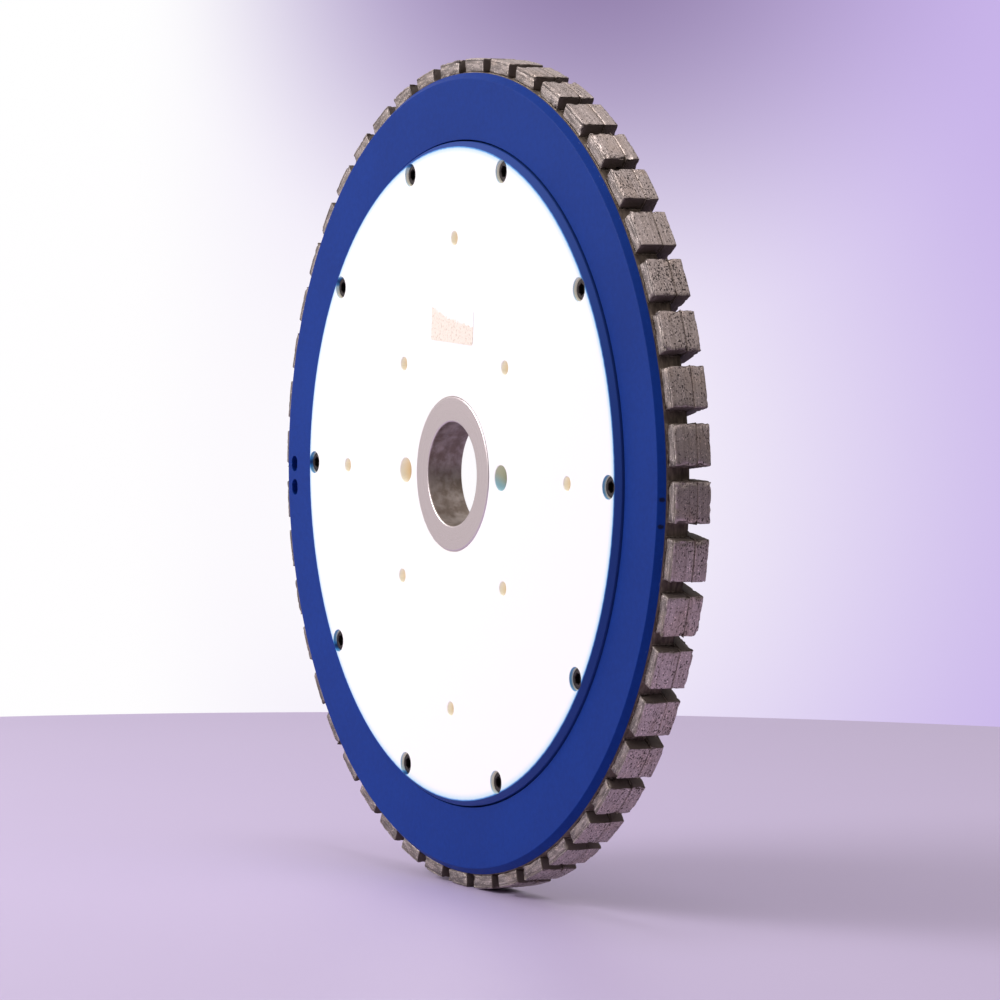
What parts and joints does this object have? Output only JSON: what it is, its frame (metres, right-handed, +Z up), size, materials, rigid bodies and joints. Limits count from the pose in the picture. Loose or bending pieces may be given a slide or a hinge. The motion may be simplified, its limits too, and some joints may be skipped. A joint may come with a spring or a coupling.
{
  "type": "diamond grinding wheel",
  "caption": "Segmented diamond grinding wheel: painted steel rim with brazed diamond segments, screwed on a white nylon core with a steel bore bush.",
  "frame": {"origin": "on the spindle axis, half way along the bore", "axes": "+Y along the spindle axis from the front face to the back, +Z up, +X to the right seen from the front"},
  "size_m": [0.4, 0.0262, 0.4],
  "materials": {
    "blue_paint": "satin enamel over steel, darker on the chamfer",
    "white_nylon": "machined white nylon, cream inside the holes, blue paint on its bevel",
    "hub_steel": "turned steel, satin face and streaked bore",
    "screw_steel": "blackened screw steel with a worn rim",
    "label_paper": "worn blank paper with adhesive residue",
    "braze_metal": "silver solder, heat-tinted tan",
    "segment_metal": "sintered diamond metal, pitted and streaked"
  },
  "bodies": {
    "root": {"rim_ring": "blue_paint", "core_disc": "white_nylon", "hub_bush": "hub_steel", "cap_screws": "screw_steel", "label_patch": "label_paper", "braze_seams": "braze_metal", "side_segments": "segment_metal", "rim_segment_01": "segment_metal", "rim_segment_02": "segment_metal", "rim_segment_03": "segment_metal", "rim_segment_04": "segment_metal", "rim_segment_05": "segment_metal", "rim_segment_06": "segment_metal", "rim_segment_07": "segment_metal", "rim_segment_08": "segment_metal", "rim_segment_09": "segment_metal", "rim_segment_10": "segment_metal", "rim_segment_11": "segment_metal", "rim_segment_12": "segment_metal", "rim_segment_13": "segment_metal", "rim_segment_14": "segment_metal", "rim_segment_15": "segment_metal", "rim_segment_16": "segment_metal", "rim_segment_17": "segment_metal", "rim_segment_18": "segment_metal", "rim_segment_19": "segment_metal", "rim_segment_20": "segment_metal", "rim_segment_21": "segment_metal", "rim_segment_22": "segment_metal", "rim_segment_23": "segment_metal", "rim_segment_24": "segment_metal", "rim_segment_25": "segment_metal", "rim_segment_26": "segment_metal", "rim_segment_27": "segment_metal", "rim_segment_28": "segment_metal", "rim_segment_29": "segment_metal", "rim_segment_30": "segment_metal", "rim_segment_31": "segment_metal", "rim_segment_32": "segment_metal", "rim_segment_33": "segment_metal", "rim_segment_34": "segment_metal", "rim_segment_35": "segment_metal", "rim_segment_36": "segment_metal", "rim_segment_37": "segment_metal", "rim_segment_38": "segment_metal", "rim_segment_39": "segment_metal", "rim_segment_40": "segment_metal", "rim_segment_41": "segment_metal", "rim_segment_42": "segment_metal", "rim_segment_43": "segment_metal", "rim_segment_44": "segment_metal", "rim_segment_45": "segment_metal", "rim_segment_46": "segment_metal", "rim_segment_47": "segment_metal", "rim_segment_48": "segment_metal"}
  },
  "joints": []
}
